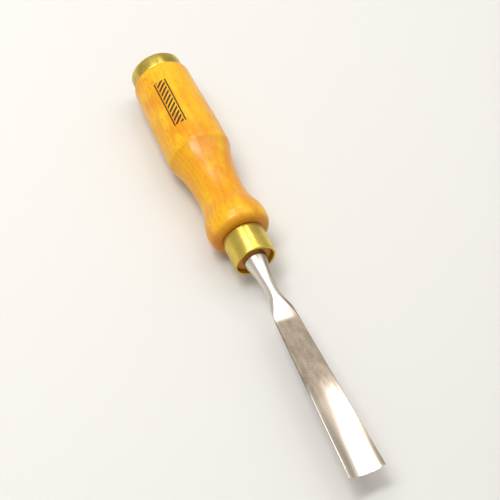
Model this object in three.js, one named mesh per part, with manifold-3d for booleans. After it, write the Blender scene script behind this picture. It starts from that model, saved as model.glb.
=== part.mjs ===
// A straight carving gouge, lying down: a forged steel blade whose tang sits in a turned beech
// handle, with a brass ferrule at the blade end and a brass striking hoop at the butt.
//
// Lengths are in millimetres. Each piece is built about the tool's own axis, which is Y:
// y = 0 is the mouth of the ferrule, the handle runs to +Y and the cutting edge points to -Y.
// +Z is the hollow side of the blade. The group at the end lays the tool on its handle.
import * as THREE from "three";
import { mergeVertices } from "three/addons/utils/BufferGeometryUtils.js";
import Module from "manifold-3d";

// Handle, along the axis from the ferrule's mouth.
const HANDLE_LENGTH = 120.5; // to the struck end of the wood
const FRONT_SWELL_AT = 20;
const WAIST_AT = 38.5;
const SHOULDER_AT = 62; // where the waist's cove meets the grip
const SHOULDER_CORNER = 1; // from there back to the corner that is rounded off
const SHOULDER_ROUND = 3.2; // axial length of that rounding

// Handle, across.
const GRIP_DIAMETER = 30;
const BUTT_DIAMETER = 28; // the grip's thin end, just before the hoop
const WAIST_DIAMETER = 21.6;
const FRONT_SWELL_DIAMETER = 28.6;
const SHOULDER_DROP = 0.5; // how far the cove ends below the grip's surface

// How far the handle's curves keep level before they turn.
const SWELL_REACH = 7;
const WAIST_REACH_FORWARD = 10.5;
const WAIST_REACH_BACK = 9.5;
const COVE_RISE = [6.2, 2.2]; // the cove's last leg: length along the axis and rise
const GRIP_REACH = 20;
const BUTT_REACH = 12;
const BUTT_ROUND = 3; // axial length of the rounded edge at the hoop

// Ferrule: a tube over the front of the wood.
const FERRULE_LENGTH = 14;
const FERRULE_DIAMETER = 19.5;
const FERRULE_WALL = 1.1;
const FERRULE_ROUND = 0.6;
const FERRULE_LIP = 0.9; // how far the wood's front shoulder stands above the ferrule
const WOOD_RECESS = 2; // from the ferrule's mouth back to the wood's front face

// Striking hoop: a heavier ring round the butt.
const HOOP_LENGTH = 7;
const HOOP_DIAMETER = 25.2;
const HOOP_WALL = 1.8;
const HOOP_FRONT_ROUND = 0.5;
const HOOP_BACK_ROUND = 1.5;
const HOOP_LIP = 0.3; // how far the wood stands above the hoop in front of it
const WOOD_PROUD = 0.8; // how far the struck wood stands out of the hoop
const WOOD_END_ROUND = 0.7;

// Blade, along the axis from the ferrule's mouth to the cutting edge.
const BLADE_LENGTH = 108;
const NECK_END = 18; // where the neck starts to widen and its top to slope down
const SIDES_GROWN = 29; // where the neck has widened into the heel
const RAMP_END = 32.5; // where that slope meets the flat top of the heel
const HEEL_END = 54; // where the hollow starts
const BEVEL_LENGTH = 7;

// Blade, across.
const EDGE_WIDTH = 16.2;
const HEEL_WIDTH = 12.1; // where the hollow starts
const EDGE_HOLLOW = 2.9; // depth of the hollow below the rims, at the edge
const EDGE_THICKNESS = 2.1; // at the start of the bevel
const HEEL_THICKNESS = 2.9;
const EDGE_LAND = 0.25; // steel left at the very edge
const SIDE_TOP = 1.2; // level above the axis where the sides end, from the neck to the edge
const BLADE_SIDE = 1.6; // height of the blade's sides
const RIM_FLAT = 0.3; // flat strip between the hollow and each side

// Neck, bolster and tang, which are one forging with the blade.
const NECK_WIDTH = 5.6; // at its thin end
const NECK_HEIGHT = 6;
const BOLSTER_DIAMETER = 11;
const BOLSTER_SIDE = 1.1; // height of the bolster's flat sides
const BOLSTER_LENGTH = 2;
const BOLSTER_FLARE = 15; // length of the sweep from the neck's thin end out to the bolster
const FLARE_POWER = 2; // how late that sweep turns outwards
const TANG_LENGTH = 54;
const TANG_ROOT_WIDTH = 6.4;
const TANG_END_WIDTH = 3;

// Clearances between pieces that touch on the real tool.
const SEAT_GAP = 0.3; // brass ring to wood, and bolster to wood
const TANG_GAP = 0.3; // each face of the tang to its hole
const TANG_END_GAP = 1.5;

// Fineness of the surfaces.
const TURNED_SIDES = 48;
const CURVE_STEPS = 7;
const CORNER_STEPS = 4;
const FLOOR_STEPS = 10; // spans across the middle stretch of the blade's top
const RIM_STEPS = 3; // spans from there to each side
const NECK_STEPS = 8;
const RAMP_STEPS = 9;
const HEEL_STEPS = 3;
const BLADE_STEPS = 8;
const BEVEL_STEPS = 2;

// Middle stretch of a cross-section that has no flat or hollow of its own, as a share of it.
const MIDDLE_SHARE = 0.35;

// Two lengths closer than this are the same.
const HAIR = 1e-4;

const wasm = await Module();
wasm.setup();

const mix = THREE.MathUtils.lerp;
const smooth = THREE.MathUtils.smoothstep;

// A three.js geometry as a solid that can be cut.
function toSolid(geometry) {
  const bare = geometry.clone();
  bare.deleteAttribute("normal");
  bare.deleteAttribute("uv");
  const merged = mergeVertices(bare, HAIR);
  return new wasm.Manifold(
    new wasm.Mesh({
      numProp: 3,
      vertProperties: merged.attributes.position.array,
      triVerts: new Uint32Array(merged.index.array),
    }),
  );
}

function toGeometry(solid) {
  const cut = solid.getMesh();
  const geometry = new THREE.BufferGeometry();
  geometry.setAttribute("position", new THREE.BufferAttribute(cut.vertProperties, 3));
  geometry.setIndex(new THREE.BufferAttribute(cut.triVerts, 1));
  geometry.computeVertexNormals();
  return geometry;
}

// Points of a quarter turn that rounds the corner between two ends of a profile.
function rounded(from, corner, to) {
  const curve = new THREE.QuadraticBezierCurve(
    new THREE.Vector2(...from),
    new THREE.Vector2(...corner),
    new THREE.Vector2(...to),
  );
  return curve.getPoints(CORNER_STEPS);
}

function swept(from, leave, arrive, to) {
  const curve = new THREE.CubicBezierCurve(
    new THREE.Vector2(...from),
    new THREE.Vector2(...leave),
    new THREE.Vector2(...arrive),
    new THREE.Vector2(...to),
  );
  return curve.getPoints(CURVE_STEPS);
}

// Turns a profile of (radius, place along the axis) points, dropping points that repeat.
function turned(points) {
  const profile = points.filter(
    (point, i) => i === 0 || point.distanceTo(points[i - 1]) > HAIR,
  );
  return new THREE.LatheGeometry(profile, TURNED_SIDES);
}

// A plain tube, its outside edges rounded at the front and the back.
function ring({ front, back, outside, wall, frontRound, backRound }) {
  const inside = outside - wall;
  return turned([
    new THREE.Vector2(inside, front),
    ...rounded(
      [outside - frontRound, front],
      [outside, front],
      [outside, front + frontRound],
    ),
    ...rounded(
      [outside, back - backRound],
      [outside, back],
      [outside - Math.min(backRound, wall / 2), back],
    ),
    new THREE.Vector2(inside, back),
    new THREE.Vector2(inside, front),
  ]);
}

const hoopBack = HANDLE_LENGTH - WOOD_PROUD;
const hoopFront = hoopBack - HOOP_LENGTH;

function ferruleGeometry() {
  return ring({
    front: 0,
    back: FERRULE_LENGTH,
    outside: FERRULE_DIAMETER / 2,
    wall: FERRULE_WALL,
    frontRound: FERRULE_ROUND,
    backRound: FERRULE_ROUND,
  });
}

function hoopGeometry() {
  return ring({
    front: hoopFront,
    back: hoopBack,
    outside: HOOP_DIAMETER / 2,
    wall: HOOP_WALL,
    frontRound: HOOP_FRONT_ROUND,
    backRound: HOOP_BACK_ROUND,
  });
}

// The turned outline of the handle, from its front face to its struck end.
function handleProfile() {
  const ferruleSeat = FERRULE_DIAMETER / 2 - FERRULE_WALL - SEAT_GAP;
  const hoopSeat = HOOP_DIAMETER / 2 - HOOP_WALL - SEAT_GAP;
  const shoulderFace = FERRULE_LENGTH + SEAT_GAP;
  const noseRadius = FERRULE_DIAMETER / 2 + FERRULE_LIP;
  const swell = FRONT_SWELL_DIAMETER / 2;
  const waist = WAIST_DIAMETER / 2;
  const grip = GRIP_DIAMETER / 2;
  const coveEnd = grip - SHOULDER_DROP;
  const buttFace = hoopFront - SEAT_GAP;
  const buttEdge = HOOP_DIAMETER / 2 + HOOP_LIP;
  const gripEnd = buttFace - BUTT_ROUND;
  const butt = BUTT_DIAMETER / 2;
  return [
    new THREE.Vector2(0, WOOD_RECESS),
    new THREE.Vector2(ferruleSeat, WOOD_RECESS),
    new THREE.Vector2(ferruleSeat, shoulderFace),
    ...rounded([noseRadius, shoulderFace], [swell, shoulderFace], [swell, FRONT_SWELL_AT]),
    ...swept(
      [swell, FRONT_SWELL_AT],
      [swell, FRONT_SWELL_AT + SWELL_REACH],
      [waist, WAIST_AT - WAIST_REACH_FORWARD],
      [waist, WAIST_AT],
    ),
    ...swept(
      [waist, WAIST_AT],
      [waist, WAIST_AT + WAIST_REACH_BACK],
      [coveEnd - COVE_RISE[1], SHOULDER_AT - COVE_RISE[0]],
      [coveEnd, SHOULDER_AT],
    ),
    ...rounded(
      [coveEnd, SHOULDER_AT],
      [grip, SHOULDER_AT + SHOULDER_CORNER],
      [grip, SHOULDER_AT + SHOULDER_ROUND],
    ),
    ...swept(
      [grip, SHOULDER_AT + SHOULDER_ROUND],
      [grip, SHOULDER_AT + SHOULDER_ROUND + GRIP_REACH],
      [butt, gripEnd - BUTT_REACH],
      [butt, gripEnd],
    ),
    ...rounded([butt, gripEnd], [butt, buttFace], [buttEdge, buttFace]),
    new THREE.Vector2(hoopSeat, buttFace),
    ...rounded(
      [hoopSeat, HANDLE_LENGTH - WOOD_END_ROUND],
      [hoopSeat, HANDLE_LENGTH],
      [hoopSeat - WOOD_END_ROUND, HANDLE_LENGTH],
    ),
    new THREE.Vector2(0, HANDLE_LENGTH),
  ];
}

// Height of a circular arc over its chord, for an arc that rises by rise at mid-chord.
function arcHeight(x, halfChord, rise) {
  if (Math.abs(rise) < HAIR) return 0;
  const size = Math.abs(rise);
  const radius = (halfChord ** 2 + size ** 2) / (2 * size);
  const height = size - radius + Math.sqrt(Math.max(0, radius ** 2 - x ** 2));
  return Math.sign(rise) * height;
}

// Height at x of the circle about the upright x = 0 that passes through an inner, higher point
// and an outer, lower one; level points are joined by a straight line.
function shoulderHeight(x, inner, outer) {
  const drop = inner.z - outer.z;
  if (drop < HAIR) return inner.z;
  const centre = (inner.x ** 2 + inner.z ** 2 - outer.x ** 2 - outer.z ** 2) / (2 * drop);
  const radius = Math.hypot(outer.x, outer.z - centre);
  return centre + Math.sqrt(Math.max(0, radius ** 2 - x ** 2));
}

// A cross-section at place y: a row of points along its top, then one back along its underside.
// The top's middle stretch, floorHalf to each side, rises by floorRise, or is hollow where that
// is negative. From there a rim runs out to the sides, which end at sideTop. The underside
// bulges down by belly.
function crossSection({ y, halfWidth, sideTop, sideHeight, floorHalf, floorTop, floorRise, belly }) {
  const rim = Array.from({ length: RIM_STEPS }, (_, i) => {
    const outwards = Math.sin((Math.PI / 2) * (1 - i / RIM_STEPS));
    return mix(floorHalf, halfWidth, outwards);
  });
  const across = rim.map((x) => -x);
  for (let i = 0; i <= FLOOR_STEPS; i++) {
    across.push(-floorHalf * Math.cos((Math.PI * i) / FLOOR_STEPS));
  }
  across.push(...rim.reverse());

  const inner = { x: floorHalf, z: floorTop };
  const outer = { x: halfWidth, z: sideTop };
  const top = across.map((x) => {
    const onRim = Math.abs(x) > floorHalf + HAIR;
    const z = onRim ? shoulderHeight(x, inner, outer) : floorTop + arcHeight(x, floorHalf, floorRise);
    return new THREE.Vector3(x, y, z);
  });
  const underside = across.map((x) => {
    const drop = arcHeight(x, halfWidth, belly);
    return new THREE.Vector3(x, y, sideTop - sideHeight - drop);
  });
  return [...top, ...underside.reverse()];
}

// Skins a run of cross-sections, first to last, and closes both ends.
function lofted(sections) {
  const count = sections[0].length;
  const last = sections.length - 1;
  const faces = [];
  for (let s = 0; s < last; s++) {
    for (let i = 0; i < count; i++) {
      const next = (i + 1) % count;
      const a = s * count + i;
      const b = s * count + next;
      faces.push(a, b + count, b, a, a + count, b + count);
    }
  }
  for (let i = 0; i < count / 2 - 1; i++) {
    const under = count - 1 - i;
    faces.push(i, i + 1, under, i + 1, under - 1, under);
    const end = last * count;
    faces.push(end + i, end + under, end + i + 1, end + i + 1, end + under, end + under - 1);
  }
  const geometry = new THREE.BufferGeometry().setFromPoints(sections.flat());
  geometry.setIndex(faces);
  geometry.computeVertexNormals();
  return geometry;
}

// A square cross-section, for the tang and its hole.
function squareSection(y, width) {
  return crossSection({
    y,
    halfWidth: width / 2,
    sideTop: width / 2,
    sideHeight: width,
    floorHalf: (MIDDLE_SHARE * width) / 2,
    floorTop: width / 2,
    floorRise: 0,
    belly: 0,
  });
}

// The middle stretch of a top that is one round arc from side to side.
function roundTop(halfWidth, sideTop, topCentre) {
  const floorHalf = MIDDLE_SHARE * halfWidth;
  const floorTop = sideTop + arcHeight(floorHalf, halfWidth, topCentre - sideTop);
  return { floorHalf, floorTop, floorRise: topCentre - floorTop };
}

// The neck's round cross-section, spread towards the bolster's by flare, from 0 to 1.
function neckSection(y, flare) {
  const halfWidth = mix(NECK_WIDTH, BOLSTER_DIAMETER, flare) / 2;
  const topCentre = mix(NECK_HEIGHT, BOLSTER_DIAMETER, flare) / 2;
  const sideTop = mix(SIDE_TOP, BOLSTER_SIDE / 2, flare);
  return crossSection({
    y,
    halfWidth,
    sideTop,
    sideHeight: 2 * sideTop,
    ...roundTop(halfWidth, sideTop, topCentre),
    belly: topCentre - sideTop,
  });
}

// How far down its slope the top of the neck has come, from 0 to 1. The slope starts smoothly
// and is straight where it meets the heel.
function rampDrop(forward) {
  const share = THREE.MathUtils.clamp((forward - NECK_END) / (RAMP_END - NECK_END), 0, 1);
  return share * share * (2 - share);
}

// The blade's cross-section at a distance forward of the ferrule's mouth. It grows out of the
// neck, has a flat top at the heel and a hollow one from there on, and its underside rises to
// the edge over the bevel.
function bladeSection(forward) {
  const along = (forward - HEEL_END) / (BLADE_LENGTH - HEEL_END);
  const worn = Math.max(0, along);
  const grown = smooth(forward, NECK_END, SIDES_GROWN);
  const ramp = rampDrop(forward);
  const sharpened = Math.max(0, (forward - BLADE_LENGTH + BEVEL_LENGTH) / BEVEL_LENGTH);

  const halfWidth = mix(NECK_WIDTH, mix(HEEL_WIDTH, EDGE_WIDTH, along), grown) / 2;
  const round = roundTop(halfWidth, SIDE_TOP, NECK_HEIGHT / 2);
  const roundRise = round.floorRise * (1 - ramp) ** 2;
  const rampTop = mix(NECK_HEIGHT / 2, SIDE_TOP, ramp);
  const hollow = EDGE_HOLLOW * worn;
  const thickness = mix(HEEL_THICKNESS, EDGE_THICKNESS, worn);

  const floorCentre = SIDE_TOP - hollow;
  const fullUnder = mix(-NECK_HEIGHT / 2, floorCentre - thickness, grown);
  const underCentre = mix(fullUnder, floorCentre - EDGE_LAND, sharpened);
  const sideHeight = mix(mix(2 * SIDE_TOP, BLADE_SIDE, grown), EDGE_LAND, sharpened);
  const rimFlat = mix(RIM_FLAT, EDGE_LAND, sharpened);
  return crossSection({
    y: -forward,
    halfWidth,
    sideTop: SIDE_TOP,
    sideHeight,
    floorHalf: mix(round.floorHalf, halfWidth - rimFlat, ramp),
    floorTop: rampTop - roundRise,
    floorRise: roundRise - hollow,
    belly: SIDE_TOP - sideHeight - underCentre,
  });
}

// Evenly spaced places from one end to the other, leaving out the first.
function places(from, to, steps) {
  return Array.from({ length: steps }, (_, i) => mix(from, to, (i + 1) / steps));
}

// Tang, bolster, neck and blade in one run of cross-sections.
function bladeGeometry() {
  const bolsterBack = WOOD_RECESS - SEAT_GAP;
  const bolsterFront = bolsterBack - BOLSTER_LENGTH;
  const neckStart = BOLSTER_FLARE - bolsterFront;
  const bevelStart = BLADE_LENGTH - BEVEL_LENGTH;
  const sections = [
    squareSection(bolsterBack + TANG_LENGTH, TANG_END_WIDTH),
    squareSection(bolsterBack, TANG_ROOT_WIDTH),
    neckSection(bolsterBack, 1),
    neckSection(bolsterFront, 1),
  ];
  for (const forward of places(-bolsterFront, neckStart, NECK_STEPS)) {
    const left = (neckStart - forward) / BOLSTER_FLARE;
    sections.push(neckSection(-forward, left ** FLARE_POWER));
  }
  for (const forward of [
    NECK_END,
    ...places(NECK_END, RAMP_END, RAMP_STEPS),
    ...places(RAMP_END, HEEL_END, HEEL_STEPS),
    ...places(HEEL_END, bevelStart, BLADE_STEPS),
    ...places(bevelStart, BLADE_LENGTH, BEVEL_STEPS),
  ]) {
    sections.push(bladeSection(forward));
  }
  return lofted(sections);
}

// The tapered square hole that the tang is driven into.
function tangHole() {
  const tangStart = WOOD_RECESS - SEAT_GAP;
  const taper = (TANG_ROOT_WIDTH - TANG_END_WIDTH) / TANG_LENGTH;
  const widthAt = (y) => TANG_ROOT_WIDTH + 2 * TANG_GAP - taper * (y - tangStart);
  const bottom = tangStart + TANG_LENGTH + TANG_END_GAP;
  return lofted([squareSection(bottom, widthAt(bottom)), squareSection(0, widthAt(0))]);
}

function handleGeometry() {
  const blank = toSolid(turned(handleProfile()));
  return toGeometry(blank.subtract(toSolid(tangHole())));
}

function piece(name, geometry, look) {
  const mesh = new THREE.Mesh(geometry, new THREE.MeshStandardMaterial(look));
  mesh.name = name;
  return mesh;
}

const steel = { color: 0xd6d2cb, roughness: 0.28, metalness: 1 };
const beech = { color: 0xe8a23c, roughness: 0.3, metalness: 0 };
const brass = { color: 0xc4a237, roughness: 0.3, metalness: 1 };

const gouge = new THREE.Group();
gouge.name = "carving_gouge";
gouge.add(
  piece("blade", bladeGeometry(), steel),
  piece("handle", handleGeometry(), beech),
  piece("ferrule", ferruleGeometry(), brass),
  piece("striking_hoop", hoopGeometry(), brass),
);
gouge.position.set(0, (BLADE_LENGTH - HANDLE_LENGTH) / 2, GRIP_DIAMETER / 2);

const laidDown = new THREE.Group();
laidDown.add(gouge);

export default laidDown;
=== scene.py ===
import math
from collections import Counter

import bpy
import numpy as np
from mathutils import Matrix, Vector


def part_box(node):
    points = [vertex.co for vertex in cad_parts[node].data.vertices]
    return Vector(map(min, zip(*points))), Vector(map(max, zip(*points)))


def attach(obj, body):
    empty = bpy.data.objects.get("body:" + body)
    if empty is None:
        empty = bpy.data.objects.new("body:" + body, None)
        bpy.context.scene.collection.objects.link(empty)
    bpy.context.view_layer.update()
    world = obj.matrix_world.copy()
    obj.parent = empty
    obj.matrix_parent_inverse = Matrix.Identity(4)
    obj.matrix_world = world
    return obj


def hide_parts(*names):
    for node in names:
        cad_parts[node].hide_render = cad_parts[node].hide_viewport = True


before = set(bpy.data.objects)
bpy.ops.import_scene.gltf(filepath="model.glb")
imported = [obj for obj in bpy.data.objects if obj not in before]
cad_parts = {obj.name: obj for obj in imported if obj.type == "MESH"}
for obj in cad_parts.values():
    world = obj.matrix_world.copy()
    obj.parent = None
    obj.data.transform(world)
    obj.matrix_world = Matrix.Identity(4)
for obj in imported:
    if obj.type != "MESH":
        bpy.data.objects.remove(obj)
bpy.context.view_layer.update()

MM = 0.001

# Fineness of the visible surfaces.
TURNED_SIDES = 192
SPAN_STEPS = 6
ROUND_STEPS = 5
CORNER_STEPS = 3
FLOOR_STEPS = 12
RIM_STEPS = 5
BLADE_STEP = 0.75 * MM
FLARE_STEP = 0.35 * MM
SHARP_TURN = math.radians(34)
CREASE = math.radians(28)

# Reading a turned CAD node: decimal places of a metre, and the least share of the fullest ring's
# points that counts as a whole ring.
RING_PLACES = 5
WHOLE_RING_SHARE = 0.25

# A length too small to matter.
HAIR = 1e-7

# Edges of the rings.
RING_BREAK = 0.25 * MM
FERRULE_ROUND = 0.6 * MM
HOOP_FRONT_ROUND = 0.5 * MM
HOOP_BACK_ROUND = 1.4 * MM

# Blade: places are distances forward of the ferrule's mouth.
NECK_END = 18 * MM
SIDES_GROWN = 29 * MM
RAMP_END = 32.5 * MM
RAMP_BLEND = 1.6 * MM
HEEL_END = 54 * MM
BEVEL_LENGTH = 7 * MM
BOLSTER_BACK = 1.7 * MM
BOLSTER_LENGTH = 2 * MM
BOLSTER_FLARE = 15 * MM
FLARE_POWER = 2

# Blade: cross-section.
NECK_WIDTH = 5.6 * MM
NECK_HEIGHT = 6 * MM
BOLSTER_SIDE = 1.1 * MM
HEEL_WIDTH = 12.1 * MM
SIDE_TOP = 1.2 * MM
BLADE_SIDE = 1.6 * MM
RIM_FLAT = 0.3 * MM
EDGE_HOLLOW = 2.9 * MM
EDGE_THICKNESS = 2.1 * MM
HEEL_THICKNESS = 2.9 * MM
EDGE_LAND = 0.1 * MM
CORNER_BREAK = 0.2 * MM
TANG_ROOT_WIDTH = 6.4 * MM
TANG_END_WIDTH = 3 * MM
TANG_GAP = 0.3 * MM
TANG_END_GAP = 1.5 * MM
MIDDLE_SHARE = 0.35

handle_low, handle_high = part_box("handle")
ferrule_low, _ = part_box("ferrule")
blade_low, blade_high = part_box("blade")

axis_x = (handle_low.x + handle_high.x) / 2
axis_z = (handle_low.z + handle_high.z) / 2
mouth_y = ferrule_low.y
blade_length = mouth_y - blade_low.y
edge_width = blade_high.x - blade_low.x
bolster_diameter = blade_high.z - blade_low.z


# ---------------------------------------------------------------------------------------------
# Shapes


def mesh_piece(name, points, faces):
    """A smooth-shaded object that keeps its sharp edges sharp."""
    mesh = bpy.data.meshes.new(name)
    mesh.from_pydata([tuple(p) for p in points], [], faces)
    mesh.validate()
    mesh.polygons.foreach_set("use_smooth", [True] * len(mesh.polygons))
    mesh.set_sharp_from_angle(angle=CREASE)
    piece = bpy.data.objects.new(name, mesh)
    bpy.context.scene.collection.objects.link(piece)
    return piece


def turned_outline(node):
    """(radius, y) of each whole ring of a turned CAD node's outside, from front to back."""
    rings = Counter()
    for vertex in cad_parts[node].data.vertices:
        radius = math.hypot(vertex.co.x - axis_x, vertex.co.z - axis_z)
        rings[(round(radius, RING_PLACES), round(vertex.co.y, RING_PLACES))] += 1
    enough = max(rings.values()) * WHOLE_RING_SHARE
    waiting = sorted((r for r in rings if rings[r] > enough), key=lambda r: (r[1], r[0]))
    outline = [waiting.pop(0)]
    while waiting:
        here = outline[-1]
        level = [r for r in waiting if r[1] == waiting[0][1]]
        nearest = min(level, key=lambda r: abs(r[0] - here[0]))
        waiting.remove(nearest)
        outline.append(nearest)
    return outline


def turn_at(points, i):
    """How sharply an outline turns at its point i, in radians."""
    before = points[i] - points[i - 1]
    after = points[i + 1] - points[i]
    cosine = before @ after / (np.linalg.norm(before) * np.linalg.norm(after))
    return math.acos(max(-1.0, min(1.0, cosine)))


def smoothed(outline):
    """The outline with a smooth curve between its points, kept sharp at its corners."""
    points = np.array(outline)
    last = len(points) - 1
    sharp = [i in (0, last) or turn_at(points, i) > SHARP_TURN for i in range(last + 1)]
    fine = [points[0]]
    for i in range(last):
        span = points[i + 1] - points[i]
        length = np.linalg.norm(span)
        leave, arrive = span, span
        if not sharp[i]:
            leave = points[i + 1] - points[i - 1]
            leave = leave / np.linalg.norm(leave) * length
        if not sharp[i + 1]:
            arrive = points[i + 2] - points[i]
            arrive = arrive / np.linalg.norm(arrive) * length
        for step in range(1, SPAN_STEPS + 1):
            t = step / SPAN_STEPS
            fine.append(
                (2 * t**3 - 3 * t**2 + 1) * points[i]
                + (t**3 - 2 * t**2 + t) * leave
                + (3 * t**2 - 2 * t**3) * points[i + 1]
                + (t**3 - t**2) * arrive
            )
    return fine


def turned_piece(name, outline, hole=(), closed=False):
    """Turns an outline of (radius, y) about the tool's axis. A closed outline makes a ring.

    The (half width, y) of a square hole, bottom first, lead up to an open outline's first ring.
    """
    points, faces, rows = [], [], []
    for i, (reach, y) in enumerate([*hole, *outline]):
        if reach < HAIR:
            rows.append([len(points)] * TURNED_SIDES)
            points.append((axis_x, y, axis_z))
            continue
        rows.append(range(len(points), len(points) + TURNED_SIDES))
        for side in range(TURNED_SIDES):
            angle = 2 * math.pi * side / TURNED_SIDES
            across, up = math.sin(angle), math.cos(angle)
            radius = reach / max(abs(across), abs(up)) if i < len(hole) else reach
            points.append((axis_x + radius * across, y, axis_z + radius * up))
    pairs = list(zip(rows, rows[1:]))
    if closed:
        pairs.append((rows[-1], rows[0]))
    for front, back in pairs:
        for side in range(TURNED_SIDES):
            after = (side + 1) % TURNED_SIDES
            corners = (front[side], front[after], back[after], back[side])
            faces.append(tuple(dict.fromkeys(corners)))
    return mesh_piece(name, points, faces)


def make_handle():
    """The turned wood, with its flat struck end and the tapered square hole for the tang."""
    outline = smoothed(turned_outline("handle"))
    struck_end = (0, handle_high.y)
    front = outline[0][1]
    taper = (TANG_ROOT_WIDTH - TANG_END_WIDTH) / (blade_high.y - mouth_y - BOLSTER_BACK)

    def hole_half_width(y):
        return (TANG_ROOT_WIDTH - taper * (y - mouth_y - BOLSTER_BACK)) / 2 + TANG_GAP

    bottom = blade_high.y + TANG_END_GAP
    hole = [(0, bottom), (hole_half_width(bottom), bottom), (hole_half_width(front), front)]
    return turned_piece("beech_handle", [*outline, struck_end], hole)


def rounded(start, corner, end, steps=ROUND_STEPS):
    """Points of a curve that rounds the corner between two points of an outline."""
    a, c, b = (np.array(p) for p in (start, corner, end))
    shares = [i / steps for i in range(steps + 1)]
    return [(1 - t) ** 2 * a + 2 * t * (1 - t) * c + t**2 * b for t in shares]


def inner_radius(node):
    """The radius of the bore of a CAD ring."""
    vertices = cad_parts[node].data.vertices
    return min(math.hypot(v.co.x - axis_x, v.co.z - axis_z) for v in vertices)


def ring_outline(node, front_round, back_round):
    """The closed outline of a plain ring whose outside edges are rounded."""
    low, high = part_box(node)
    outside = (high.x - low.x) / 2
    inside = inner_radius(node)
    front, back = low.y, high.y
    face_back = min(back_round, (outside - inside) / 2)
    return [
        *rounded((inside, front + RING_BREAK), (inside, front), (inside + RING_BREAK, front)),
        *rounded((outside - front_round, front), (outside, front), (outside, front + front_round)),
        *rounded((outside, back - back_round), (outside, back), (outside - face_back, back)),
        *rounded((inside + RING_BREAK, back), (inside, back), (inside, back - RING_BREAK)),
    ]


def mix(a, b, share):
    return a + (b - a) * share


def ease_out(share):
    """0 to 1, fast at first."""
    return math.sin(math.pi / 2 * share)


def ease(value, low, high):
    """0 at low, 1 at high, level at both ends."""
    t = max(0.0, min(1.0, (value - low) / (high - low)))
    return t * t * (3 - 2 * t)


def arc_height(x, half_chord, rise):
    """Height over its chord of a circular arc that rises by rise at mid-chord."""
    size = abs(rise)
    if size < HAIR:
        return 0.0
    radius = (half_chord**2 + size**2) / (2 * size)
    return math.copysign(size - radius + math.sqrt(max(0.0, radius**2 - x * x)), rise)


def shoulder_height(x, inner, outer):
    """Height at x of the circle about the upright x = 0 through an inner and an outer point."""
    drop = inner[1] - outer[1]
    if drop < HAIR:
        return inner[1]
    centre = (inner[0] ** 2 + inner[1] ** 2 - outer[0] ** 2 - outer[1] ** 2) / (2 * drop)
    radius = math.hypot(outer[0], outer[1] - centre)
    return centre + math.sqrt(max(0.0, radius**2 - x * x))


def cross_section(
    forward, half_width, side_top, side_height, floor_half, floor_top, floor_rise, belly
):
    """One closed row of points, from the middle of the top to +X, below to -X and up again.

    The top's middle stretch, floor_half to each side, rises by floor_rise, or is hollow where
    that is negative. A rim runs from it to the sides, and the underside bulges down by belly.
    """
    side_low = side_top - side_height
    corner = min(CORNER_BREAK, side_height / 3)
    outer = half_width - corner
    across = [floor_half * math.sin(math.pi / 2 * i / FLOOR_STEPS) for i in range(FLOOR_STEPS)]
    across += [mix(floor_half, outer, ease_out(i / RIM_STEPS)) for i in range(RIM_STEPS)]

    def top(x):
        if x < floor_half - HAIR:
            return x, floor_top + arc_height(x, floor_half, floor_rise)
        return x, shoulder_height(x, (floor_half, floor_top), (half_width, side_top))

    def under(x):
        return x, side_low - arc_height(x, half_width, belly)

    right = [top(x) for x in across]
    right += rounded(top(outer), (half_width, side_top), (half_width, side_top - corner), CORNER_STEPS)
    right += rounded(
        (half_width, side_low + corner), (half_width, side_low), under(outer), CORNER_STEPS
    )
    right += [under(x) for x in reversed(across)]
    left = [(-x, z) for x, z in reversed(right[1:-1])]
    return [(axis_x + x, mouth_y - forward, axis_z + z) for x, z in right + left]


def square_section(forward, width):
    """The tang's square section."""
    half = width / 2
    return cross_section(forward, half, half, width, MIDDLE_SHARE * half, half, 0, 0)


def round_top(half_width, side_top, top_centre):
    """Half width, level and rise of the middle stretch of a top that is one round arc."""
    floor_half = MIDDLE_SHARE * half_width
    floor_top = side_top + arc_height(floor_half, half_width, top_centre - side_top)
    return floor_half, floor_top, top_centre - floor_top


def neck_section(forward, flare):
    """The neck's round section, spread towards the bolster's by flare, from 0 to 1."""
    half_width = mix(NECK_WIDTH, bolster_diameter, flare) / 2
    top_centre = mix(NECK_HEIGHT, bolster_diameter, flare) / 2
    side_top = mix(SIDE_TOP, BOLSTER_SIDE / 2, flare)
    middle = round_top(half_width, side_top, top_centre)
    return cross_section(
        forward, half_width, side_top, 2 * side_top, *middle, top_centre - side_top
    )


def ramp_drop(forward):
    """How far down its slope the neck's top has come, from 0 to 1, straight at its end."""
    share = max(0.0, min(1.0, (forward - NECK_END) / (RAMP_END - NECK_END)))
    return share * share * (2 - share)


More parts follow.
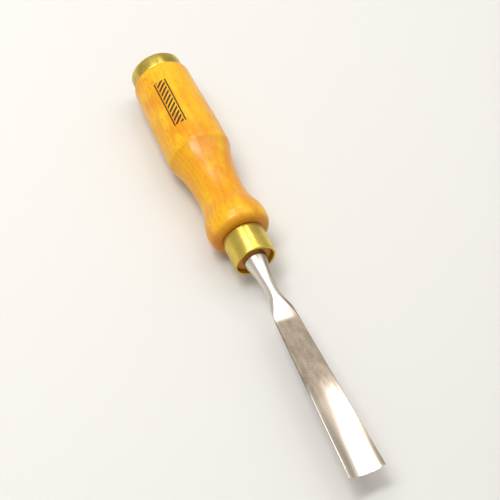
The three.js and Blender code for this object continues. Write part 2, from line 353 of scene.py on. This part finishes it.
def blade_section(forward):
    """The neck growing into a flat heel, then the hollow blade, bevelled below at its edge."""
    along = (forward - HEEL_END) / (blade_length - HEEL_END)
    worn = max(0.0, along)
    grown = ease(forward, NECK_END, SIDES_GROWN)
    ramp = (ramp_drop(forward - RAMP_BLEND) + ramp_drop(forward + RAMP_BLEND)) / 2
    sharpened = max(0.0, (forward - blade_length + BEVEL_LENGTH) / BEVEL_LENGTH)

    half_width = mix(NECK_WIDTH, mix(HEEL_WIDTH, edge_width, along), grown) / 2
    round_half, _, round_rise = round_top(half_width, SIDE_TOP, NECK_HEIGHT / 2)
    round_rise *= (1 - ramp) ** 2
    ramp_top = mix(NECK_HEIGHT / 2, SIDE_TOP, ramp)
    hollow = EDGE_HOLLOW * worn
    floor_centre = SIDE_TOP - hollow
    thickness = mix(HEEL_THICKNESS, EDGE_THICKNESS, worn)
    full_under = mix(-NECK_HEIGHT / 2, floor_centre - thickness, grown)
    under_centre = mix(full_under, floor_centre - EDGE_LAND, sharpened)
    side_height = mix(mix(2 * SIDE_TOP, BLADE_SIDE, grown), EDGE_LAND, sharpened)
    rim_flat = mix(RIM_FLAT, EDGE_LAND, sharpened)
    return cross_section(
        forward,
        half_width,
        SIDE_TOP,
        side_height,
        mix(round_half, half_width - rim_flat, ramp),
        ramp_top - round_rise,
        round_rise - hollow,
        SIDE_TOP - side_height - under_centre,
    )


def lofted_piece(name, sections):
    """Skins a run of cross-sections, first to last, and closes both ends."""
    count = len(sections[0])
    points = [point for section in sections for point in section]
    faces = []
    for s in range(len(sections) - 1):
        for i in range(count):
            a = s * count + i
            b = s * count + (i + 1) % count
            faces.append((a, a + count, b + count, b))
    last = (len(sections) - 1) * count
    half = count // 2
    for i in range(half // 2):
        for j, k in ((i, i + 1), (-i - 1, -i)):
            faces.append([n % count for n in (j, k, half - k, half - j)])
            faces.append([last + n % count for n in (k, j, half - j, half - k)])
    return mesh_piece(name, points, faces)


def places(start, stop, step):
    """Even places from start to stop, about step apart, leaving out the first."""
    count = max(1, round((stop - start) / step))
    return [mix(start, stop, (i + 1) / count) for i in range(count)]


def make_blade():
    """The forging, lofted from the end of the tang to the cutting edge."""
    bolster_front = BOLSTER_LENGTH - BOLSTER_BACK
    neck_start = bolster_front + BOLSTER_FLARE
    bevel_start = blade_length - BEVEL_LENGTH
    sections = [
        square_section(mouth_y - blade_high.y, TANG_END_WIDTH),
        square_section(-BOLSTER_BACK, TANG_ROOT_WIDTH),
        neck_section(-BOLSTER_BACK, 1),
        neck_section(bolster_front, 1),
    ]
    for forward in places(bolster_front, neck_start, FLARE_STEP):
        flare_left = (neck_start - forward) / BOLSTER_FLARE
        sections.append(neck_section(forward, flare_left**FLARE_POWER))
    for start, stop in (
        (neck_start, NECK_END),
        (NECK_END, RAMP_END),
        (RAMP_END, HEEL_END),
        (HEEL_END, bevel_start),
        (bevel_start, blade_length),
    ):
        sections += [blade_section(forward) for forward in places(start, stop, BLADE_STEP)]
    return lofted_piece("forged_blade", sections)


# ---------------------------------------------------------------------------------------------
# Materials


class Surface:
    """A material and short ways to add and join its nodes. Lengths in it are in millimetres."""

    def __init__(self, name, **constants):
        self.material = bpy.data.materials.new(name)
        self.material.use_nodes = True
        self.tree = self.material.node_tree
        self.shader = self.tree.nodes["Principled BSDF"]
        for socket, value in constants.items():
            self.shader.inputs[socket.replace("_", " ")].default_value = value
        coordinates = self.tree.nodes.new("ShaderNodeTexCoord")
        from_axis = self.add("ShaderNodeVectorMath", operation="SUBTRACT")
        self.join(coordinates.outputs["Object"], from_axis.inputs[0])
        from_axis.inputs[1].default_value = (axis_x, mouth_y, axis_z)
        in_mm = self.add("ShaderNodeVectorMath", operation="SCALE")
        self.join(from_axis.outputs[0], in_mm.inputs[0])
        in_mm.inputs["Scale"].default_value = 1 / MM
        self.place = in_mm.outputs[0]
        self.normal = coordinates.outputs["Normal"]

    def add(self, kind, **settings):
        node = self.tree.nodes.new(kind)
        for key, value in settings.items():
            setattr(node, key, value)
        return node

    def join(self, output, socket):
        self.tree.links.new(output, socket)

    def feed(self, value, socket):
        """Joins an output, or sets a plain number or colour."""
        if isinstance(value, bpy.types.NodeSocket):
            self.join(value, socket)
        else:
            socket.default_value = value

    def math(self, operation, a, b=0.0):
        node = self.add("ShaderNodeMath", operation=operation)
        self.feed(a, node.inputs[0])
        self.feed(b, node.inputs[1])
        return node.outputs[0]

    def part(self, value, share):
        return self.math("MULTIPLY", value, share)

    def between(self, value, low, high):
        """0 below low, 1 above high, smooth between; reversed when low is the larger."""
        node = self.add("ShaderNodeMapRange", interpolation_type="SMOOTHSTEP")
        self.feed(value, node.inputs["Value"])
        node.inputs["From Min"].default_value = low
        node.inputs["From Max"].default_value = high
        return node.outputs[0]

    def axes(self, vector=None):
        node = self.add("ShaderNodeSeparateXYZ")
        self.join(vector or self.place, node.inputs[0])
        return node.outputs

    def noise(self, grain, detail=2.0, roughness=0.5):
        """Noise with this many grains to the millimetre along each axis."""
        stretched = self.add("ShaderNodeVectorMath", operation="MULTIPLY")
        self.join(self.place, stretched.inputs[0])
        stretched.inputs[1].default_value = grain
        node = self.add("ShaderNodeTexNoise")
        self.join(stretched.outputs[0], node.inputs["Vector"])
        node.inputs["Scale"].default_value = 1.0
        node.inputs["Detail"].default_value = detail
        node.inputs["Roughness"].default_value = roughness
        return node.outputs["Fac"]

    def blend(self, share, a, b):
        """A colour that goes from a to b as share goes from 0 to 1."""
        node = self.add("ShaderNodeMix", data_type="RGBA")
        self.feed(share, node.inputs["Factor"])
        self.feed(a, node.inputs[6])
        self.feed(b, node.inputs[7])
        return node.outputs[2]

    def blend_numbers(self, share, a, b):
        node = self.add("ShaderNodeMix", data_type="FLOAT")
        self.feed(share, node.inputs["Factor"])
        self.feed(a, node.inputs[2])
        self.feed(b, node.inputs[3])
        return node.outputs[0]

    def bump(self, height, depth_mm):
        node = self.add("ShaderNodeBump")
        node.inputs["Distance"].default_value = depth_mm * MM
        self.join(height, node.inputs["Height"])
        return node.outputs[0]

    def finish(self, colour=None, roughness=None, bump=None):
        for value, socket in ((colour, "Base Color"), (roughness, "Roughness"), (bump, "Normal")):
            if value is not None:
                self.feed(value, self.shader.inputs[socket])
        return self.material


# Colours, as linear red, green, blue and alpha.
HONEY = (0.75, 0.355, 0.006, 1)
PALE_HONEY = (0.82, 0.445, 0.014, 1)
LATE_WOOD = (0.66, 0.25, 0.005, 1)
RED_AMBER = (0.66, 0.20, 0.004, 1)
YELLOW_AMBER = (0.85, 0.50, 0.016, 1)
FLECK = (0.40, 0.12, 0.008, 1)
END_GRAIN = (0.56, 0.17, 0.008, 1)
INK = (0.035, 0.014, 0.006, 1)
# The steel colours are tinted warm: a painted reflection of warm brown surroundings.
POLISHED_STEEL = (0.70, 0.65, 0.575, 1)
BRIGHT_STEEL = (0.78, 0.73, 0.655, 1)
# The satin colours are darker than such steel is: a painted reflection of dark surroundings on the
# satin finish.
DARK_SATIN_SHADED = (0.115, 0.089, 0.060, 1)
PALE_SATIN_SHADED = (0.21, 0.166, 0.118, 1)
SCRATCH = (0.30, 0.245, 0.180, 1)
# The colour of the band and rim along the hollow: painted shade that darkens these walls beside the
# highlight.
WALL_SHADE_SATIN = (0.36, 0.30, 0.235, 1)
BRASS = (0.66, 0.48, 0.075, 1)
PALE_BRASS = (0.82, 0.63, 0.14, 1)
TARNISH = (0.40, 0.32, 0.055, 1)
FLOOR_GREY = (0.68, 0.665, 0.635, 1)

# The strip printed on the grip.
PRINT_MIDDLE_MM = 88.0
PRINT_HALF_LENGTH_MM = 13.8
PRINT_HALF_WIDTH_MM = 3.2
PRINT_TURN_DEGREES = 23.0
PRINT_RULE_MM = 0.7
HATCH_PITCH_MM = 2.7
HATCH_GAP_MM = 0.4
HATCH_LEAN = -0.9
HATCH_RANGE = (-0.3, -0.05)
INK_EDGE_MM = 0.12
INK_WEAR_RANGE = (0.24, 0.36)
INK_SHARE = 0.95

# Where the tree's pith ran beside this piece of beech, and its yearly growth.
PITH_ASIDE_MM = 34.0
PITH_BELOW_MM = 52.0
PITH_LEAN = 0.05
RING_PITCH_MM = 2.3
RING_WANDER_MM = 5.0
RING_RANGE = (-0.6, 1.0)

# The other patterns in the wood: over what range each fades in, and how strong each colour is.
FIBRE_RANGE = (0.3, 0.7)
RED_AMBER_RANGE = (0.45, 0.7)
YELLOW_AMBER_RANGE = (0.55, 0.36)
FLECK_RANGE = (0.61, 0.71)
END_GRAIN_RANGE = (0.1, 0.7)
LATE_WOOD_SHARE = 0.35
RED_AMBER_SHARE = 0.55
YELLOW_AMBER_SHARE = 0.65
FLECK_SHARE = 0.5
END_GRAIN_SHARE = 0.6

# Grinding of the blade, with painted shade on the heel, on a band by the hollow's -X wall and on its
# +X rim: each pair says where it has faded away and where it is still whole.
HEEL_START_MM = (RAMP_END / MM - 2.2, RAMP_END / MM + 1.2)
HEEL_FADE_MM = (80.0, 66.0)
BAND_FADE_MM = (98.0, 62.0)
BAND_SIDE_MM = (-8.2, -4.8)
BAND_LEAN = 8.0
RIM_FADE_MM = (0.2, 2.6)
RIM_END_MM = (112.0, 105.0)
GRINDING_AND_SHADE_WANDER_MM = 6.0
NECK_FADE_MM = (NECK_END / MM + 9.0, NECK_END / MM)

# The ground steel, its colour darkened as a painted reflection: how strong its colour is, and how the
# marks in it fade in.
GRINDING_AND_SHADE_SHARE = 0.94
SMUDGE_RANGE = (0.3, 0.7)
SCRATCH_RANGE = (0.35, 0.7)
SCRATCH_SHARE = 0.45

# How tarnished each brass ring is, and over what range of its noise the tarnish fades in.
TARNISH_RANGE = (0.4, 0.65)
FERRULE_TARNISH = 0.5
HOOP_TARNISH = 0.8

# Grains to the millimetre across, along and up the tool.
FIBRE_GRAIN = (2.6, 0.06, 2.6)
AMBER_GRAIN = (0.06, 0.025, 0.06)
STAIN_GRAIN = (0.11, 0.05, 0.11)
FLECK_GRAIN = (3.4, 0.42, 3.4)
RING_GRAIN = (0.05, 0.018, 0.05)
INK_GRAIN = (3, 3, 3)
CROSS_GRIND_GRAIN = (0.35, 7.0, 0.35)
LONG_POLISH_GRAIN = (7.0, 0.1, 7.0)
STEEL_CLOUD_GRAIN = (0.16, 0.09, 0.16)
SMUDGE_GRAIN = (0.5, 0.16, 0.5)
TURNING_GRAIN = (0.15, 7.0, 0.15)
BRASS_CLOUD_GRAIN = (0.12, 0.12, 0.12)

# Roughness, and the depth of the fine lines.
WOOD_ROUGHNESS = (0.36, 0.5)
POLISHED_ROUGHNESS = 0.19
GROUND_ROUGHNESS = 0.28
NECK_ROUGHNESS = 0.25
LINE_ROUGHNESS = 0.08
BRASS_ROUGHNESS = 0.22
BRASS_CLOUD_ROUGHNESS = 0.14
FLOOR_ROUGHNESS = 0.85
FIBRE_DEPTH_MM = 0.02
GRINDING_DEPTH_MM = 0.008
TURNING_DEPTH_MM = 0.004


def printed_strip(wood):
    """Share of ink in a plain hatched strip printed along the grip."""
    x, y, z = wood.axes()
    turn = math.radians(PRINT_TURN_DEGREES)
    aside = wood.math("ADD", wood.part(x, math.cos(turn)), wood.part(z, math.sin(turn)))
    raised = wood.math("SUBTRACT", wood.part(z, math.cos(turn)), wood.part(x, math.sin(turn)))
    across = wood.math("ABSOLUTE", aside)
    along = wood.math("ABSOLUTE", wood.math("SUBTRACT", y, PRINT_MIDDLE_MM))
    inside = wood.math(
        "MULTIPLY",
        wood.between(across, PRINT_HALF_WIDTH_MM, PRINT_HALF_WIDTH_MM - INK_EDGE_MM),
        wood.between(along, PRINT_HALF_LENGTH_MM, PRINT_HALF_LENGTH_MM - INK_EDGE_MM),
    )
    rule_inside = PRINT_HALF_WIDTH_MM - PRINT_RULE_MM
    rule = wood.between(across, rule_inside - INK_EDGE_MM, rule_inside)
    lean = wood.math("ADD", y, wood.part(aside, HATCH_LEAN))
    wave = wood.math("SINE", wood.math("MULTIPLY", lean, 2 * math.pi / HATCH_PITCH_MM))
    hatch_outside = rule_inside - HATCH_GAP_MM
    hatch = wood.math(
        "MULTIPLY",
        wood.between(wave, *HATCH_RANGE),
        wood.between(across, hatch_outside, hatch_outside - INK_EDGE_MM),
    )
    worn = wood.between(wood.noise(INK_GRAIN, 3.0), *INK_WEAR_RANGE)
    ink = wood.math("MULTIPLY", wood.math("MAXIMUM", rule, hatch), worn)
    upper_side = wood.between(raised, 0, 1)
    return wood.math("MULTIPLY", wood.math("MULTIPLY", ink, inside), upper_side)


def growth_rings(wood):
    """Late wood, 0 to 1, in rings about a pith outside the handle and leaning along it."""
    x, y, z = wood.axes()
    aside = wood.math("ADD", wood.math("ADD", x, PITH_ASIDE_MM), wood.part(y, PITH_LEAN))
    below = wood.math("ADD", z, PITH_BELOW_MM)
    squares = wood.math("ADD", wood.math("POWER", aside, 2.0), wood.math("POWER", below, 2.0))
    wander = wood.part(wood.noise(RING_GRAIN), RING_WANDER_MM)
    away = wood.math("ADD", wood.math("SQRT", squares), wander)
    wave = wood.math("SINE", wood.math("MULTIPLY", away, 2 * math.pi / RING_PITCH_MM))
    return wood.between(wave, *RING_RANGE)


def lacquered_beech():
    """Beech with growth rings, flecks and a printed strip, under amber lacquer."""
    wood = Surface(
        "lacquered_beech",
        Coat_Weight=0.5,
        Coat_Roughness=0.2,
        Coat_IOR=1.45,
        Specular_IOR_Level=0.1,
    )
    fibre = wood.noise(FIBRE_GRAIN, 4.0, 0.6)
    cloud = wood.noise(AMBER_GRAIN, 3.0)
    stain = wood.noise(STAIN_GRAIN, 3.0, 0.6)
    colour = wood.blend(wood.between(fibre, *FIBRE_RANGE), HONEY, PALE_HONEY)
    colour = wood.blend(wood.part(growth_rings(wood), LATE_WOOD_SHARE), colour, LATE_WOOD)
    red = wood.part(wood.between(cloud, *RED_AMBER_RANGE), RED_AMBER_SHARE)
    colour = wood.blend(red, colour, RED_AMBER)
    yellow = wood.part(wood.between(stain, *YELLOW_AMBER_RANGE), YELLOW_AMBER_SHARE)
    colour = wood.blend(yellow, colour, YELLOW_AMBER)

    # Short dark flecks along the fibres.
    flecks = wood.between(wood.noise(FLECK_GRAIN, 1.0, 0.4), *FLECK_RANGE)
    colour = wood.blend(wood.part(flecks, FLECK_SHARE), colour, FLECK)

    # The stain soaks into the ends of the fibres, where the surface turns along the axis.
    end_grain = wood.math("ABSOLUTE", wood.axes(wood.normal)[1])
    soaked = wood.between(end_grain, *END_GRAIN_RANGE)
    colour = wood.blend(wood.part(soaked, END_GRAIN_SHARE), colour, END_GRAIN)

    colour = wood.blend(wood.part(printed_strip(wood), INK_SHARE), colour, INK)
    roughness = wood.blend_numbers(fibre, *WOOD_ROUGHNESS)
    return wood.finish(colour, roughness, wood.bump(fibre, FIBRE_DEPTH_MM))


def bright_steel():
    """Forged steel: plain neck, polished ramp, cross-ground heel, polished hollow, with painted shade
    on the heel and along the hollow's walls.
    """
    steel = Surface("bright_steel", Metallic=1.0)
    x, y, _ = steel.axes()
    forward = steel.math("MULTIPLY", y, -1.0)
    across = steel.noise(CROSS_GRIND_GRAIN, 3.0, 0.6)
    along = steel.noise(LONG_POLISH_GRAIN, 3.0, 0.6)
    cloud = steel.noise(STEEL_CLOUD_GRAIN, 3.0)
    smudge = steel.noise(SMUDGE_GRAIN, 2.0)

    # The heel is ground right across, its colour darkened as a painted reflection. Further on, a
    # slanting band on the -X side of the hollow and its +X rim get satin with painted shade; their
    # edges are uneven.
    uneven = steel.part(smudge, GRINDING_AND_SHADE_WANDER_MM)
    heel = steel.math(
        "MULTIPLY",
        steel.between(forward, *HEEL_START_MM),
        steel.between(steel.math("ADD", forward, uneven), *HEEL_FADE_MM),
    )
    slant = steel.math("ADD", forward, steel.part(x, BAND_LEAN))
    band = steel.math(
        "MULTIPLY",
        steel.between(steel.math("ADD", slant, uneven), *BAND_FADE_MM),
        steel.math(
            "MULTIPLY",
            steel.between(x, *BAND_SIDE_MM),
            steel.between(forward, RAMP_END / MM, HEEL_END / MM),
        ),
    )
    taper = (edge_width - HEEL_WIDTH) / 2 / (blade_length - HEEL_END)
    inboard = steel.math("ADD", x, steel.part(y, taper))
    rim = steel.math(
        "MULTIPLY",
        steel.between(inboard, *RIM_FADE_MM),
        steel.between(forward, *RIM_END_MM),
    )
    # Painted shade along the hollow's walls: the band and the rim.
    wall_shade_mask = steel.math("MAXIMUM", band, rim)
    grinding_and_shade = steel.math("MAXIMUM", heel, wall_shade_mask)
    neck = steel.between(forward, *NECK_FADE_MM)
    lines = steel.blend_numbers(grinding_and_shade, along, across)

    polished = steel.blend(cloud, POLISHED_STEEL, BRIGHT_STEEL)
    # Painted reflection: the satin heel is darker than its steel, and the band and rim take the
    # painted wall shade.
    satin_and_shade = steel.blend(steel.between(smudge, *SMUDGE_RANGE), DARK_SATIN_SHADED, PALE_SATIN_SHADED)
    scratches = steel.part(steel.between(across, *SCRATCH_RANGE), SCRATCH_SHARE)
    satin_and_shade = steel.blend(scratches, satin_and_shade, SCRATCH)
    satin_and_shade = steel.blend(heel, WALL_SHADE_SATIN, satin_and_shade)
    colour = steel.blend(steel.part(grinding_and_shade, GRINDING_AND_SHADE_SHARE), polished, satin_and_shade)

    roughness = steel.blend_numbers(grinding_and_shade, POLISHED_ROUGHNESS, GROUND_ROUGHNESS)
    roughness = steel.blend_numbers(neck, roughness, NECK_ROUGHNESS)
    roughness = steel.math("ADD", roughness, steel.part(lines, LINE_ROUGHNESS))
    return steel.finish(colour, roughness, steel.bump(lines, GRINDING_DEPTH_MM))


def turned_brass(name, tarnish):
    """Brass with turning lines and cloudy tarnish of this strength, from 0 to 1."""
    brass = Surface(name, Metallic=1.0)
    turning = brass.noise(TURNING_GRAIN, 2.0, 0.6)
    cloud = brass.noise(BRASS_CLOUD_GRAIN, 3.0, 0.5)
    colour = brass.blend(cloud, BRASS, PALE_BRASS)
    dulled = brass.part(brass.between(cloud, *TARNISH_RANGE), tarnish)
    colour = brass.blend(dulled, colour, TARNISH)
    roughness = brass.math("ADD", BRASS_ROUGHNESS, brass.part(cloud, BRASS_CLOUD_ROUGHNESS))
    return brass.finish(colour, roughness, brass.bump(turning, TURNING_DEPTH_MM))


def studio_floor():
    floor = Surface("studio_floor", Roughness=FLOOR_ROUGHNESS)
    return floor.finish(FLOOR_GREY)


# ---------------------------------------------------------------------------------------------
# The tool


def stand_in(piece, node, material):
    """Puts a finished piece in a CAD node's place."""
    piece.data.materials.append(material)
    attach(piece, "root")
    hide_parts(node)


stand_in(make_handle(), "handle", lacquered_beech())

ferrule = turned_piece(
    "brass_ferrule",
    ring_outline("ferrule", FERRULE_ROUND, FERRULE_ROUND),
    closed=True,
)
stand_in(ferrule, "ferrule", turned_brass("ferrule_brass", FERRULE_TARNISH))

hoop = turned_piece(
    "brass_striking_hoop",
    ring_outline("striking_hoop", HOOP_FRONT_ROUND, HOOP_BACK_ROUND),
    closed=True,
)
stand_in(hoop, "striking_hoop", turned_brass("hoop_brass", HOOP_TARNISH))

stand_in(make_blade(), "blade", bright_steel())


# ---------------------------------------------------------------------------------------------
# Stage, light and camera

FLOOR_HALF_SIZE = 3.0

# Each softbox: its place across and along the tool, its width and length, and its brightness.
LIGHT_HEIGHT = 0.88
SOFTBOXES = {
    "key": (-0.36, 0.1, 0.45, 0.2, 16),
    "back": (-0.2, 0.47, 0.3, 0.14, 12),
    "glint": (0.32, 0.6, 0.3, 0.2, 5),
    "overhead": (0.3, 0.19, 1.2, 0.28, 2.6),
    "side": (1.5, 0.25, 1.1, 0.6, 0.8),
}

ROOM_COLOUR = (1, 0.975, 0.935, 1)
HORIZON_STRENGTH = 0.62
OVERHEAD_STRENGTH = 0.52

CAMERA_PLACE = Vector((-0.159, -0.282, 0.463))
CAMERA_LENS_MM = 91
CAMERA_SENSOR_MM = 36
CAMERA_ROLL = math.radians(7)


def make_floor():
    size = FLOOR_HALF_SIZE
    corners = [(-size, -size, 0), (size, -size, 0), (size, size, 0), (-size, size, 0)]
    floor = mesh_piece("floor", corners, [(0, 1, 2, 3)])
    floor.data.materials.append(studio_floor())


def softbox(name, centre, width, length, brightness):
    """A level rectangular light facing down, its length along the tool."""
    light = bpy.data.lights.new(name, "AREA")
    light.shape = "RECTANGLE"
    light.size = width
    light.size_y = length
    light.energy = brightness * math.pi * width * length
    lamp = bpy.data.objects.new(name, light)
    lamp.location = centre
    bpy.context.scene.collection.objects.link(lamp)


def make_camera():
    """A camera that looks at the middle of the tool."""
    camera = bpy.data.cameras.new("camera")
    camera.lens = CAMERA_LENS_MM
    camera.sensor_width = CAMERA_SENSOR_MM
    eye = bpy.data.objects.new("camera", camera)
    aim = Vector((axis_x, (blade_low.y + handle_high.y) / 2, axis_z))
    look = (aim - CAMERA_PLACE).to_track_quat("-Z", "Y").to_matrix().to_4x4()
    roll = Matrix.Rotation(CAMERA_ROLL, 4, "Z")
    eye.matrix_world = Matrix.Translation(CAMERA_PLACE) @ look @ roll
    bpy.context.scene.collection.objects.link(eye)
    bpy.context.scene.camera = eye


def make_world():
    """A pale room, a little dimmer overhead than at the horizon."""
    world = bpy.data.worlds.new("studio")
    world.use_nodes = True
    tree = world.node_tree
    direction = tree.nodes.new("ShaderNodeTexCoord")
    parts = tree.nodes.new("ShaderNodeSeparateXYZ")
    strength = tree.nodes.new("ShaderNodeMapRange")
    strength.inputs["To Min"].default_value = HORIZON_STRENGTH
    strength.inputs["To Max"].default_value = OVERHEAD_STRENGTH
    tree.links.new(direction.outputs["Generated"], parts.inputs[0])
    tree.links.new(parts.outputs["Z"], strength.inputs["Value"])
    background = tree.nodes["Background"]
    background.inputs["Color"].default_value = ROOM_COLOUR
    tree.links.new(strength.outputs[0], background.inputs["Strength"])
    bpy.context.scene.world = world


make_floor()
make_world()
for light_name, (across, along, width, length, brightness) in SOFTBOXES.items():
    softbox(light_name, (across, along, LIGHT_HEIGHT), width, length, brightness)
make_camera()
bpy.context.scene.view_settings.view_transform = "Standard"
